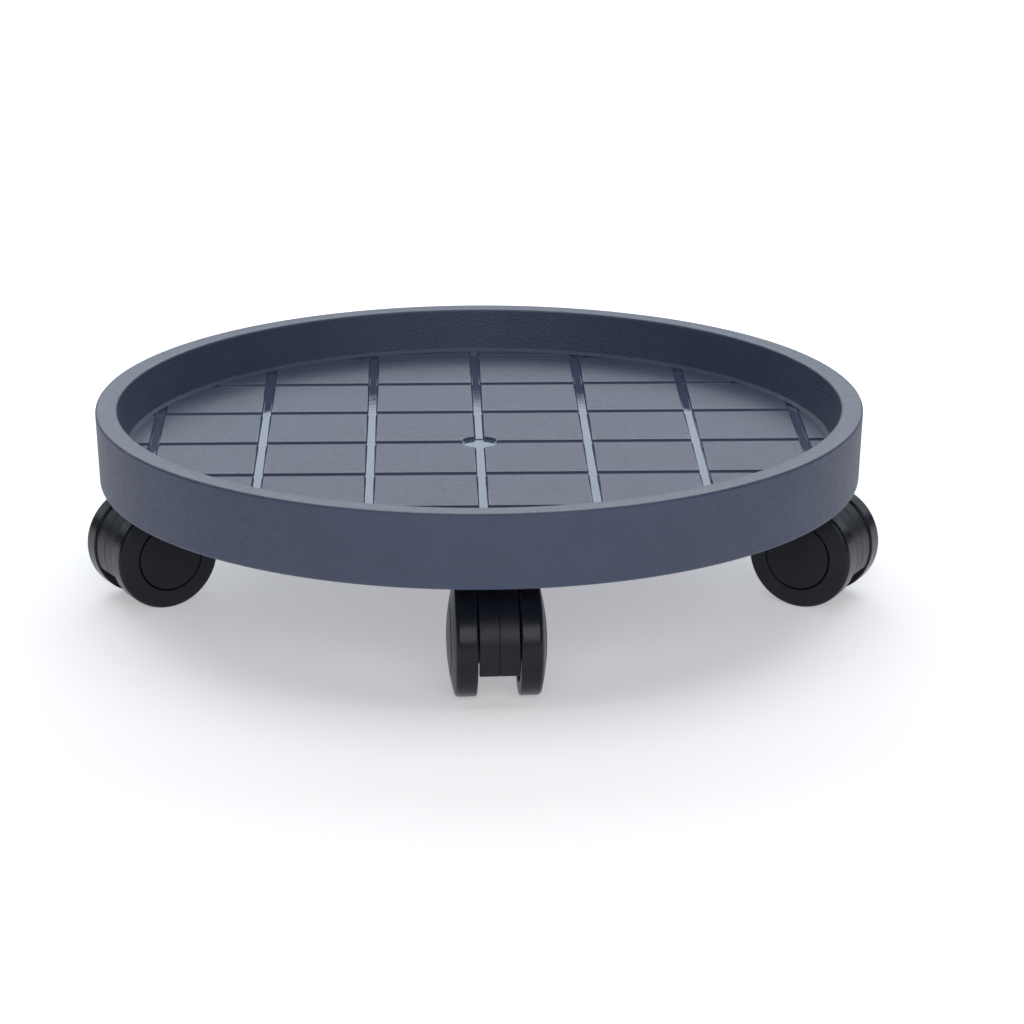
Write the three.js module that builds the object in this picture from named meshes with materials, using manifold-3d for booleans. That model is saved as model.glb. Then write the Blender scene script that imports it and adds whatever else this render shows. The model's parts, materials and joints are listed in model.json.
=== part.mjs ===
// Plant pot caddy: a round dished tray on four swivelling twin-wheel casters.
// Millimetres, +Z up, origin on the ground under the middle of the tray, one caster at the front (-Y).

import * as THREE from "three";
import { mergeVertices } from "three/addons/utils/BufferGeometryUtils.js";
import Module from "manifold-3d";

const wasm = await Module();
wasm.setup();

// ---------- driving dimensions ----------

const GAP = 0.3; // clearance between neighbouring pieces

const TRAY_RADIUS = 195; // outside of the rim at the top
const TRAY_TOP = 100; // rim top above the ground
const RIM_WIDTH = 11; // rim measured across its top
const RIM_BOTTOM = 62.5; // lower lip of the rim
const PAD_TOP = TRAY_TOP - 22.7; // the pot stands here
const SKIN = 3; // moulded wall thickness
const EDGE_ROUND = 1.4; // rim's top edges
const LIP_ROUND = 2.6; // rim's lower edge
const OUTER_DRAFT = 1.4; // outer wall leans in by this towards the lip
const INNER_DRAFT = 3.6; // inner wall leans in by this towards the floor
const LEDGE = 1.5; // small step round the foot of the inner wall

const CHANNEL_PITCH = 55.5;
const CHANNELS_EACH_SIDE = 3;
const CHANNEL_TOP_WIDTH = 5.3;
const CHANNEL_FLOOR_WIDTH = 4;
const CHANNEL_DEPTH = 1.2;
const RECESS_RADIUS = 10; // round recess in the middle of the floor
const RECESS_DRAFT = 1;
const RECESS_DEPTH = 1.6;
const FLOOR_UNDERSIDE = PAD_TOP - 5;

const RIB_THICKNESS = 2.4;
const RIB_BOTTOM = 66.4;
const RIB_SINK = 0.6; // ribs and bosses reach this far into the floor
const RADIAL_RIBS = 8;
const RING_RIB_RADIUS = 95;
const HUB_RIB_RADIUS = 16;
const GUSSETS = 12; // small webs inside the hollow rim
const GUSSET_BOTTOM = 72;

const TRAIL = 22; // axle behind the swivel axis
const WHEEL_RADIUS = 27.5;
const HALF_WHEEL_GAP = 10.15; // mid plane to a wheel's inner face
const TREAD_WIDTH = 10.4;
const WHEEL_SHOULDER = 2.2;
const WHEEL_FACE_RISE = 1.9; // the outer face bulges by this up to the cap
const CAP_RADIUS = 17;
const CAP_THICKNESS = 2.9;
const CAP_CROWN = 1.4;
const CAP_SHOULDER = 0.75; // share of the cap's radius where its crown bends
const CAP_EDGE = 0.2;
const HUB_RADIUS = 7.5;
const DISH_FLOOR = 13.2; // mid plane to the floor of the wheel's outer dish
const AXLE_RADIUS = 3;
const AXLE_CHAMFER = 0.5;

const HOOD_HALF_WIDTH = 9;
const HOOD_RADIUS = WHEEL_RADIUS - 0.8;
const HOOD_SKIN = 2.6;
const HOOD_TRAILING_END = -24; // degrees from the horizontal, behind the axle
const HOOD_LEADING_END = 124;
const WEB_HALF_WIDTH = 3.5;
const AXLE_BOSS_RADIUS = 7;
const AXLE_BOSS_HALF_WIDTH = 9.6;
const HOUSING_RADIUS = 8.6;
const HOUSING_BOTTOM = 34;
const COLLAR_RADIUS = 12.5;
const COLLAR_BOTTOM = 55.2;
const COLLAR_TOP = 60.9;

const PIN_RADIUS = 4;
const PIN_HEAD_RADIUS = 7;
const PIN_HEAD_HEIGHT = 2.5;
const PIN_BOTTOM = 30.5;
const RETAINER_RADIUS = 7;
const RETAINER_THICKNESS = 1.6;
const WASHER_RADIUS = 10.5;
const WASHER_THICKNESS = 1.5;
const PLATE_SIZE = 44;
const PLATE_CORNER = 5;
const PLATE_THICKNESS = 2.6;
const PLATE_BOTTOM = COLLAR_TOP + GAP + WASHER_THICKNESS + GAP;
const PLATE_TOP = PLATE_BOTTOM + PLATE_THICKNESS;
const BOSS_SIZE = 47;
const BOSS_BOTTOM = PLATE_TOP + GAP;

const SCREW_SPACING = 32; // square hole pattern of a caster plate
const SCREW_SHANK_RADIUS = 1.75;
const SCREW_HEAD_RADIUS = 3.4;
const SCREW_HEAD_HEIGHT = 1.8;
const SCREW_TIP = 71;
const SCREW_POINT_LENGTH = 1.6;
const DRIVE_SLOT = { length: 3.8, width: 0.9, depth: 1.1 };

const ROUND_STEPS = { tray: 64, wheel: 24, small: 12, screw: 6 };

// Each caster: where its swivel axis stands, and which way its wheels trail in degrees round +Z.
const CASTERS = [
  { name: "front", stem: [4, -138], trail: -87.4 },
  { name: "right", stem: [151.5, -11.5], trail: -29 },
  { name: "back", stem: [-4, 138], trail: 92.6 },
  { name: "left", stem: [-148.5, -4], trail: 209 },
];

// ---------- finishes ----------

const finish = (color, roughness, metalness) => ({ color, roughness, metalness });
const FINISHES = {
  tray: finish(0x646c7f, 0.62, 0),
  wheel: finish(0x1c1b1f, 0.42, 0),
  cap: finish(0x1e1d22, 0.38, 0),
  hood: finish(0x201f24, 0.45, 0),
  zinc: finish(0xa9adb2, 0.35, 0.9),
  steel: finish(0x8d9298, 0.3, 0.95),
  nylon: finish(0xd9d6cc, 0.55, 0),
};

// ---------- helpers ----------

const { PI, cos, sin } = Math;
const radians = (degrees) => (degrees * PI) / 180;

// A closed mesh becomes a solid that can be joined and cut.
function solid(geometry) {
  const bare = geometry.index ? geometry.toNonIndexed() : geometry.clone();
  bare.deleteAttribute("normal");
  bare.deleteAttribute("uv");
  const merged = mergeVertices(bare, 1e-4);
  const corners = merged.index.array;
  const kept = [];
  for (let i = 0; i < corners.length; i += 3) {
    const [a, b, c] = [corners[i], corners[i + 1], corners[i + 2]];
    if (a !== b && b !== c && c !== a) kept.push(a, b, c);
  }
  const vertProperties = new Float32Array(merged.attributes.position.array);
  const triVerts = new Uint32Array(kept);
  return new wasm.Manifold(new wasm.Mesh({ numProp: 3, vertProperties, triVerts }));
}

function geometryOf(body) {
  const mesh = body.getMesh();
  const geometry = new THREE.BufferGeometry();
  geometry.setAttribute("position", new THREE.BufferAttribute(mesh.vertProperties, 3));
  geometry.setIndex(new THREE.BufferAttribute(mesh.triVerts, 1));
  geometry.computeVertexNormals();
  return geometry;
}

// Points on a circle in a profile, from one angle to another in degrees.
function arc(centreRadius, centreHeight, radius, from, to, steps) {
  return Array.from({ length: steps + 1 }, (_, i) => {
    const angle = radians(from + ((to - from) * i) / steps);
    return [centreRadius + radius * cos(angle), centreHeight + radius * sin(angle)];
  });
}

// A profile of [radius, height] points turned round +Z.
function revolve(profile, steps) {
  const points = profile.map(([radius, height]) => new THREE.Vector2(radius, height));
  if (profile[0][0] > 0) points.push(points[0].clone());
  return new THREE.LatheGeometry(points, steps).rotateX(PI / 2);
}

const cylinder = (radius, low, high, steps) =>
  solid(revolve([[0, low], [radius, low], [radius, high], [0, high]], steps));

const block = (length, width, low, high) =>
  solid(new THREE.BoxGeometry(length, width, high - low).translate(0, 0, (low + high) / 2));

const turned = (body, degrees) => body.rotate([0, 0, degrees]);

// An outline in the caster's side plane (trail, height), as thick as its width along the axle.
function sidePlate(shape, halfWidth) {
  const geometry = new THREE.ExtrudeGeometry(shape, { depth: 2 * halfWidth, bevelEnabled: false });
  return solid(geometry.translate(0, 0, -halfWidth).rotateX(PI / 2));
}

// A body made round +Z is laid along the axle, towards +Y or -Y.
const alongAxle = (geometry, side) => geometry.rotateX((-side * PI) / 2);

// ---------- tray ----------

function trayProfile() {
  const innerTop = TRAY_RADIUS - RIM_WIDTH;
  const innerFoot = innerTop - INNER_DRAFT;
  const outerFoot = TRAY_RADIUS - OUTER_DRAFT;
  const lipCentre = [outerFoot - LIP_ROUND, RIM_BOTTOM + LIP_ROUND];
  return [
    [0, FLOOR_UNDERSIDE],
    [innerFoot + SKIN, FLOOR_UNDERSIDE],
    [innerTop + SKIN, TRAY_TOP - SKIN],
    [TRAY_RADIUS - SKIN, TRAY_TOP - SKIN],
    [lipCentre[0], RIM_BOTTOM + SKIN],
    ...arc(...lipCentre, LIP_ROUND, -90, 0, 3),
    ...arc(TRAY_RADIUS - EDGE_ROUND, TRAY_TOP - EDGE_ROUND, EDGE_ROUND, 0, 90, 2),
    ...arc(innerTop + EDGE_ROUND, TRAY_TOP - EDGE_ROUND, EDGE_ROUND, 90, 180, 2),
    [innerFoot, PAD_TOP + LEDGE],
    [innerFoot - LEDGE, PAD_TOP],
    [0, PAD_TOP],
  ];
}

// One straight channel along X: a tapered bar that is cut out of the floor.
function channelBar(length) {
  const over = 0.5;
  const flare = (CHANNEL_TOP_WIDTH - CHANNEL_FLOOR_WIDTH) / 2;
  const topHalf = CHANNEL_TOP_WIDTH / 2 + (flare * over) / CHANNEL_DEPTH;
  const floorHalf = CHANNEL_FLOOR_WIDTH / 2;
  const shape = new THREE.Shape([
    new THREE.Vector2(-floorHalf, PAD_TOP - CHANNEL_DEPTH),
    new THREE.Vector2(floorHalf, PAD_TOP - CHANNEL_DEPTH),
    new THREE.Vector2(topHalf, PAD_TOP + over),
    new THREE.Vector2(-topHalf, PAD_TOP + over),
  ]);
  const bar = new THREE.ExtrudeGeometry(shape, { depth: length, bevelEnabled: false });
  return bar.translate(0, 0, -length / 2).rotateX(PI / 2).rotateZ(PI / 2);
}

function floorChannels() {
  const reach = TRAY_RADIUS - RIM_WIDTH - INNER_DRAFT - LEDGE;
  const across = solid(channelBar(2 * TRAY_RADIUS));
  const along = turned(across, 90);
  const bars = [];
  for (let k = -CHANNELS_EACH_SIDE; k <= CHANNELS_EACH_SIDE; k++) {
    bars.push(across.translate([0, k * CHANNEL_PITCH, 0]));
    bars.push(along.translate([k * CHANNEL_PITCH, 0, 0]));
  }
  const grid = bars.reduce((sum, bar) => sum.add(bar));
  return grid.intersect(cylinder(reach, FLOOR_UNDERSIDE, TRAY_TOP, ROUND_STEPS.tray));
}

function floorRecess() {
  const low = PAD_TOP - RECESS_DEPTH;
  const floorRadius = RECESS_RADIUS - RECESS_DRAFT;
  const profile = [
    [0, low],
    [floorRadius, low],
    [RECESS_RADIUS, PAD_TOP],
    [RECESS_RADIUS, PAD_TOP + 1],
    [0, PAD_TOP + 1],
  ];
  return solid(revolve(profile, ROUND_STEPS.wheel));
}

function underRibs() {
  const high = FLOOR_UNDERSIDE + RIB_SINK;
  const outer = TRAY_RADIUS - SKIN - OUTER_DRAFT;
  const ring = (radius) =>
    cylinder(radius + RIB_THICKNESS, RIB_BOTTOM, high, ROUND_STEPS.wheel).subtract(
      cylinder(radius, RIB_BOTTOM - 1, high + 1, ROUND_STEPS.wheel),
    );
  const ribs = [ring(HUB_RIB_RADIUS), ring(RING_RIB_RADIUS)];
  const length = outer - HUB_RIB_RADIUS;
  const rib = block(length, RIB_THICKNESS, RIB_BOTTOM, high).translate([
    HUB_RIB_RADIUS + length / 2 + RIB_THICKNESS / 2, 0, 0,
  ]);
  for (let i = 0; i < RADIAL_RIBS; i++) ribs.push(turned(rib, ((i + 0.5) * 360) / RADIAL_RIBS));
  const gussetLength = RIM_WIDTH - SKIN;
  const gusset = block(gussetLength, RIB_THICKNESS, GUSSET_BOTTOM, TRAY_TOP - SKIN + RIB_SINK);
  const placed = gusset.translate([TRAY_RADIUS - SKIN / 2 - gussetLength / 2, 0, 0]);
  for (let i = 0; i < GUSSETS; i++) ribs.push(turned(placed, (i * 360) / GUSSETS));
  return ribs.reduce((sum, rib) => sum.add(rib));
}

const screwPlaces = [-1, 1].flatMap((i) =>
  [-1, 1].map((j) => [(i * SCREW_SPACING) / 2, (j * SCREW_SPACING) / 2]),
);

// A square pad under the floor that a caster plate is screwed to.
function casterBoss() {
  const high = FLOOR_UNDERSIDE + RIB_SINK;
  const headRoom = BOSS_BOTTOM + PIN_HEAD_HEIGHT + GAP;
  const room = cylinder(PIN_HEAD_RADIUS + GAP, BOSS_BOTTOM - 1, headRoom, ROUND_STEPS.small);
  return block(BOSS_SIZE, BOSS_SIZE, BOSS_BOTTOM, high).subtract(room);
}

function pilotHoles() {
  const hole = cylinder(SCREW_SHANK_RADIUS + GAP, BOSS_BOTTOM - 1, SCREW_TIP + GAP, ROUND_STEPS.screw);
  return screwPlaces.map(([x, y]) => hole.translate([x, y, 0])).reduce((a, b) => a.add(b));
}

function tray() {
  let body = solid(revolve(trayProfile(), ROUND_STEPS.tray));
  body = body.subtract(floorChannels()).subtract(floorRecess()).add(underRibs());
  const boss = casterBoss();
  const holes = pilotHoles();
  for (const { stem } of CASTERS) {
    const place = [...stem, 0];
    body = body.add(boss.translate(place)).subtract(holes.translate(place));
  }
  return body;
}

// ---------- caster pieces fixed to the tray ----------

function roundedSquare(size, corner) {
  const half = size / 2;
  const inner = half - corner;
  const shape = new THREE.Shape();
  shape.moveTo(inner, -half);
  shape.absarc(inner, -inner, corner, -PI / 2, 0);
  shape.absarc(inner, inner, corner, 0, PI / 2);
  shape.absarc(-inner, inner, corner, PI / 2, PI);
  shape.absarc(-inner, -inner, corner, PI, 1.5 * PI);
  return shape;
}

function roundHole(x, y, radius) {
  const hole = new THREE.Path();
  hole.absarc(x, y, radius, 0, 2 * PI, true);
  return hole;
}

function casterPlate() {
  const shape = roundedSquare(PLATE_SIZE, PLATE_CORNER);
  shape.holes.push(roundHole(0, 0, PIN_RADIUS + GAP));
  for (const [x, y] of screwPlaces) shape.holes.push(roundHole(x, y, SCREW_SHANK_RADIUS + GAP));
  const options = { depth: PLATE_THICKNESS, bevelEnabled: false, curveSegments: 4 };
  return solid(new THREE.ExtrudeGeometry(shape, options).translate(0, 0, PLATE_BOTTOM));
}

function kingPin() {
  const headLow = PLATE_TOP + GAP;
  const headHigh = headLow + PIN_HEAD_HEIGHT;
  const round = 0.8;
  return solid(
    revolve(
      [
        [0, PIN_BOTTOM],
        [PIN_RADIUS - round, PIN_BOTTOM],
        [PIN_RADIUS, PIN_BOTTOM + round],
        [PIN_RADIUS, headLow],
        [PIN_HEAD_RADIUS, headLow],
        [PIN_HEAD_RADIUS, headHigh - round],
        [PIN_HEAD_RADIUS - round, headHigh],
        [0, headHigh],
      ],
      ROUND_STEPS.small,
    ),
  );
}

function ring(outer, low, high) {
  const inner = PIN_RADIUS + GAP;
  return solid(revolve([[inner, low], [outer, low], [outer, high], [inner, high]], ROUND_STEPS.small));
}

const pinRetainer = () =>
  ring(RETAINER_RADIUS, HOUSING_BOTTOM - GAP - RETAINER_THICKNESS, HOUSING_BOTTOM - GAP);

const swivelWasher = () =>
  ring(WASHER_RADIUS, COLLAR_TOP + GAP, COLLAR_TOP + GAP + WASHER_THICKNESS);

function screw() {
  const headHigh = PLATE_BOTTOM - GAP;
  const headLow = headHigh - SCREW_HEAD_HEIGHT;
  const body = solid(
    revolve(
      [
        [0, headLow],
        [SCREW_HEAD_RADIUS * 0.72, headLow],
        [SCREW_HEAD_RADIUS, headHigh - SCREW_HEAD_HEIGHT / 2],
        [SCREW_HEAD_RADIUS, headHigh],
        [SCREW_SHANK_RADIUS, headHigh],
        [SCREW_SHANK_RADIUS, SCREW_TIP - SCREW_POINT_LENGTH],
        [0, SCREW_TIP],
      ],
      ROUND_STEPS.screw,
    ),
  );
  const { length, width, depth } = DRIVE_SLOT;
  const slot = block(length, width, headLow - 1, headLow + depth);
  return body.subtract(slot.add(turned(slot, 90)));
}

// ---------- caster pieces that swivel ----------

function hoodShell() {
  const from = radians(HOOD_TRAILING_END);
  const to = radians(HOOD_LEADING_END);
  const shape = new THREE.Shape();
  shape.absarc(TRAIL, WHEEL_RADIUS, HOOD_RADIUS, from, to, false);
  shape.absarc(TRAIL, WHEEL_RADIUS, HOOD_RADIUS - HOOD_SKIN, to, from, true);
  return sidePlate(shape, HOOD_HALF_WIDTH);
}

// The upright web between the shell, the axle boss and the swivel housing.
function hoodWeb() {
  const inside = HOOD_RADIUS - HOOD_SKIN / 2;
  const shape = new THREE.Shape();
  shape.moveTo(HOUSING_RADIUS / 2, HOUSING_BOTTOM + GAP);
  shape.lineTo(HOUSING_RADIUS, HOUSING_BOTTOM + GAP);
  shape.lineTo(TRAIL, WHEEL_RADIUS - AXLE_BOSS_RADIUS);
  shape.absarc(TRAIL, WHEEL_RADIUS, inside, radians(HOOD_TRAILING_END), radians(HOOD_LEADING_END));
  shape.lineTo(HOUSING_RADIUS / 2, COLLAR_BOTTOM);
  return sidePlate(shape, WEB_HALF_WIDTH);
}

function hood() {
  const across = (radius, halfWidth) =>
    solid(
      alongAxle(
        revolve(
          [[0, -halfWidth], [radius, -halfWidth], [radius, halfWidth], [0, halfWidth]],
          ROUND_STEPS.small,
        ),
        1,
      ).translate(TRAIL, 0, WHEEL_RADIUS),
    );
  const housing = cylinder(HOUSING_RADIUS, HOUSING_BOTTOM, COLLAR_TOP, ROUND_STEPS.small);
  const collar = cylinder(COLLAR_RADIUS, COLLAR_BOTTOM, COLLAR_TOP, ROUND_STEPS.small);
  const swivelBore = cylinder(PIN_RADIUS + GAP, 0, TRAY_TOP, ROUND_STEPS.small);
  return hoodShell()
    .add(hoodWeb())
    .add(across(AXLE_BOSS_RADIUS, AXLE_BOSS_HALF_WIDTH))
    .add(housing)
    .add(collar)
    .subtract(swivelBore)
    .subtract(across(AXLE_RADIUS + GAP, 2 * HOOD_HALF_WIDTH));
}

const WHEEL_OUTER_EDGE = HALF_WHEEL_GAP + TREAD_WIDTH;
const CAP_SEAT = WHEEL_OUTER_EDGE + WHEEL_FACE_RISE - CAP_THICKNESS;
const AXLE_HALF_LENGTH = CAP_SEAT - 2 * GAP;

function wheel() {
  const bore = AXLE_RADIUS + GAP;
  return revolve(
    [
      [bore, HALF_WHEEL_GAP],
      [WHEEL_RADIUS, HALF_WHEEL_GAP],
      ...arc(WHEEL_RADIUS - WHEEL_SHOULDER, WHEEL_OUTER_EDGE - WHEEL_SHOULDER, WHEEL_SHOULDER, 0, 75, 2),
      [CAP_RADIUS + GAP, WHEEL_OUTER_EDGE + WHEEL_FACE_RISE],
      [CAP_RADIUS + GAP, DISH_FLOOR],
      [HUB_RADIUS, DISH_FLOOR],
      [HUB_RADIUS, CAP_SEAT],
      [bore, CAP_SEAT],
    ],
    ROUND_STEPS.wheel,
  );
}

function hubCap() {
  const low = CAP_SEAT + GAP;
  const edge = WHEEL_OUTER_EDGE + WHEEL_FACE_RISE;
  const shoulder = [CAP_RADIUS * CAP_SHOULDER, edge + CAP_CROWN * (1 - CAP_SHOULDER ** 2)];
  return revolve(
    [[0, low], [CAP_RADIUS, low], [CAP_RADIUS, edge - CAP_EDGE], shoulder, [0, edge + CAP_CROWN]],
    ROUND_STEPS.wheel,
  );
}

function axle() {
  const end = AXLE_HALF_LENGTH;
  const tip = AXLE_RADIUS - AXLE_CHAMFER;
  return revolve(
    [
      [0, -end],
      [tip, -end],
      [AXLE_RADIUS, -end + AXLE_CHAMFER],
      [AXLE_RADIUS, end - AXLE_CHAMFER],
      [tip, end],
      [0, end],
    ],
    ROUND_STEPS.small,
  );
}

// ---------- assembly ----------

const materials = Object.fromEntries(
  Object.entries(FINISHES).map(([name, values]) => [name, new THREE.MeshStandardMaterial(values)]),
);

function piece(name, geometry, material) {
  const mesh = new THREE.Mesh(geometry, materials[material].clone());
  mesh.name = name;
  return mesh;
}

const shared = {
  plate: geometryOf(casterPlate()),
  pin: geometryOf(kingPin()),
  retainer: geometryOf(pinRetainer()),
  washer: geometryOf(swivelWasher()),
  screw: geometryOf(screw()),
  hood: geometryOf(hood()),
};
const onAxle = (geometry, side) => geometryOf(solid(alongAxle(geometry, side)));

function caster({ name, stem, trail }) {
  const fixed = new THREE.Group();
  fixed.add(piece(`${name}_caster_plate`, shared.plate, "zinc"));
  fixed.add(piece(`${name}_king_pin`, shared.pin, "steel"));
  fixed.add(piece(`${name}_pin_retainer`, shared.retainer, "steel"));
  screwPlaces.forEach(([x, y], i) => {
    const fastener = piece(`${name}_plate_screw_${i + 1}`, shared.screw, "zinc");
    fastener.position.set(x, y, 0);
    fixed.add(fastener);
  });

  const swivel = new THREE.Group();
  swivel.rotation.z = radians(trail);
  swivel.add(piece(`${name}_swivel_washer`, shared.washer, "nylon"));
  swivel.add(piece(`${name}_caster_hood`, shared.hood, "hood"));
  const rolling = [piece(`${name}_axle`, onAxle(axle(), 1), "steel")];
  for (const [side, label] of [[1, "a"], [-1, "b"]]) {
    rolling.push(piece(`${name}_wheel_${label}`, onAxle(wheel(), side), "wheel"));
    rolling.push(piece(`${name}_hub_cap_${label}`, onAxle(hubCap(), side), "cap"));
  }
  for (const part of rolling) part.position.set(TRAIL, 0, WHEEL_RADIUS);
  swivel.add(...rolling);

  const assembly = new THREE.Group();
  assembly.position.set(...stem, 0);
  assembly.add(fixed, swivel);
  return assembly;
}

const caddy = new THREE.Group();
caddy.add(piece("tray", geometryOf(tray()), "tray"));
for (const place of CASTERS) caddy.add(caster(place));

export default caddy;
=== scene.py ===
import json
from math import atan2, cos, hypot, pi, radians, sin, tan

import bmesh
import bpy
from bpy.props import FloatProperty, FloatVectorProperty, IntProperty, PointerProperty
from mathutils import Matrix, Vector


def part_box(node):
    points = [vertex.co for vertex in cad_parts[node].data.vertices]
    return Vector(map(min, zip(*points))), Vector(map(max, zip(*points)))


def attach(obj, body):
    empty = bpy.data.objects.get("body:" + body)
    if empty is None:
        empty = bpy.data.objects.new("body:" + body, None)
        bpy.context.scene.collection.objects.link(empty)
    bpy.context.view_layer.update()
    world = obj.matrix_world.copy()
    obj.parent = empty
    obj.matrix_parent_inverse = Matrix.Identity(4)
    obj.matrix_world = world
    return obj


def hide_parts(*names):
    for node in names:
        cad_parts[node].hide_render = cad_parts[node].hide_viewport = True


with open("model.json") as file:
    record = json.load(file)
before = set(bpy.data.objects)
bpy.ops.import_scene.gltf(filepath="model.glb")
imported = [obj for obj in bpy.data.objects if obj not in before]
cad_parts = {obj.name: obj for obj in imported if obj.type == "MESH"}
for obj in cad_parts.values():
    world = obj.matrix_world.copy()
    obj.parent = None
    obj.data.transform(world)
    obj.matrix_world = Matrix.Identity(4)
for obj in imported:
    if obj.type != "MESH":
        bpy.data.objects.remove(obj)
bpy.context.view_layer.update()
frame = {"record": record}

bl_info = {
    "name": "Plant Pot Caddy",
    "version": (1, 0, 0),
    "blender": (4, 5, 0),
    "location": "3D View > Sidebar > Plant Caddy",
    "description": "Builds a round plant pot caddy: a moulded tray on four swivelling twin-wheel casters",
    "category": "Add Mesh",
}

MM = 0.001
GAP = 0.3 * MM  # clearance between neighbouring pieces
TINY = 1e-7  # lengths below this count as nothing
CASTERS = ("front", "right", "back", "left")

# ---------- places taken from the frame ----------

TRAY_LOW, TRAY_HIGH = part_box("tray")
TRAY_RADIUS, TRAY_TOP, RIM_BOTTOM = TRAY_HIGH.x, TRAY_HIGH.z, TRAY_LOW.z
PAD_TOP = next(m["pos_m"][2] for m in frame["record"]["mounts"] if m["name"] == "pot_floor")


def middle(node):
    low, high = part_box(node)
    return (low + high) / 2


def caster_places():
    """Each caster's own frame: its origin on the ground under the swivel axis, X towards the axle."""
    places = {}
    for name in CASTERS:
        stem, axle = middle(f"{name}_king_pin"), middle(f"{name}_axle")
        turn = atan2(axle.y - stem.y, axle.x - stem.x)
        places[name] = Matrix.Translation((stem.x, stem.y, 0)) @ Matrix.Rotation(turn, 4, "Z")
    return places


PLACES = caster_places()
STEMS = {name: Matrix.Translation(place.to_translation()) for name, place in PLACES.items()}
AXLE_HEIGHT = middle("front_axle").z
TRAIL = (middle("front_axle").xy - middle("front_king_pin").xy).length
PLATE_LOW, PLATE_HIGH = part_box("front_caster_plate")
PIN_LOW, PIN_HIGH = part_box("front_king_pin")
RING_LOW, RING_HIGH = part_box("front_pin_retainer")
WASHER_LOW, WASHER_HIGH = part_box("front_swivel_washer")
SCREW_LOW, SCREW_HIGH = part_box("front_plate_screw_1")
HOOD_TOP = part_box("front_caster_hood")[1].z
PIN_HEAD = (PIN_HIGH.x - PIN_LOW.x) / 2
WASHER_RADIUS = (WASHER_HIGH.x - WASHER_LOW.x) / 2


# ---------- settings ----------


def size(name, description, millimetres):
    return FloatProperty(
        name=name, description=description, default=millimetres * MM, unit="LENGTH", precision=4
    )


def angle(name, description, degrees):
    return FloatProperty(
        name=name, description=description, default=radians(degrees), unit="ROTATION"
    )


def number(name, description, value):
    return IntProperty(name=name, description=description, default=value, min=1)


def power(name, description, value):
    return FloatProperty(name=name, description=description, default=value, unit="POWER")


def colour(name, description, value):
    return FloatVectorProperty(
        name=name, description=description, default=value, subtype="COLOR", min=0, max=1
    )


class CaddyTraySizes(bpy.types.PropertyGroup):
    rim_width: size("Rim width", "Rim measured across its top", 11)
    skin: size("Wall", "Moulded wall thickness", 3)
    edge_round: size("Rim edge round", "Radius of the rim's two top edges", 1.4)
    lip_round: size("Lip round", "Radius of the rim's lower outer edge", 2.6)
    outer_draft: size("Outer draft", "Lean of the outer wall over its height", 1.4)
    inner_draft: size("Inner draft", "Lean of the inner wall over its height", 3.6)
    foot_step: size("Foot step", "Small step round the foot of the inner wall", 1.5)
    floor_thickness: size("Floor thickness", "Floor at its squares", 5)
    channel_pitch: size("Channel pitch", "Distance between neighbouring channels", 55.5)
    channel_count: number("Channels", "Channels each way across the floor", 7)
    channel_width: size("Channel width", "Channel measured at its top", 5.3)
    channel_floor: size("Channel floor", "Channel measured at its floor", 4)
    channel_depth: size("Channel depth", "Depth below the squares", 1.2)
    channel_round: size("Channel edge round", "Radius of the squares' edges", 0.45)
    recess_radius: size("Recess radius", "Round recess in the middle of the floor", 10)
    recess_depth: size("Recess depth", "Depth of the round recess", 1.6)
    rib_thickness: size("Rib thickness", "Ribs under the floor", 2.4)
    rib_bottom: size("Rib bottom", "Lower edge of the ribs above the ground", 66.4)
    rib_count: number("Radial ribs", "Ribs from the middle to the rim", 8)
    ring_rib: size("Ring rib radius", "Round rib under the floor", 95)
    hub_rib: size("Hub rib radius", "Small round rib in the middle", 16)
    gusset_count: number("Gussets", "Small webs inside the hollow rim", 12)
    gusset_bottom: size("Gusset bottom", "Lower edge of the gussets above the ground", 72)
    boss_size: size("Boss size", "Square pad over each caster plate", 47)


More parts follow.
